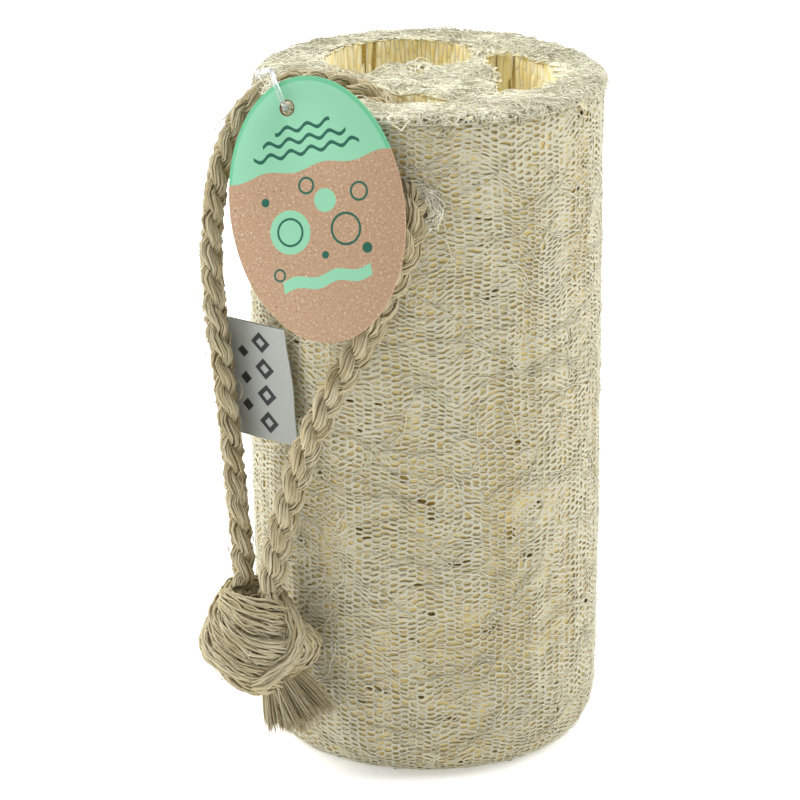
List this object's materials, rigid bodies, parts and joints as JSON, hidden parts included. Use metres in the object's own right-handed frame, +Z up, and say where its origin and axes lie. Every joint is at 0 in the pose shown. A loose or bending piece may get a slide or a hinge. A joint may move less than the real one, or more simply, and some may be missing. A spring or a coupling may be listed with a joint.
{
  "type": "natural loofah sponge",
  "caption": "Upright round loofah sponge with long seed chambers, hung on a knotted rope loop that carries an oval tag and a ribbon label.",
  "frame": {"origin": "middle of the sponge's flat base", "axes": "+Z up the sponge, -Y to the front where the rope's hole and the tag are, +X to the right"},
  "size_m": [0.0833, 0.083, 0.1462],
  "materials": {
    "loofah_fibre": "dry pale cream fibre net over golden depth",
    "rope_fibre": "braided raw linen-coloured plant fibre, fuzzy",
    "tag_card": "matt green and speckled brown card",
    "clear_plastic": "clear, glossy",
    "label_ribbon": "off-white satin weave"
  },
  "bodies": {
    "root": {"sponge": "loofah_fibre", "rope_loop": "rope_fibre", "rope_knot": "rope_fibre", "hang_tag": "tag_card", "tag_fastener": "clear_plastic", "woven_label": "label_ribbon"}
  },
  "joints": []
}
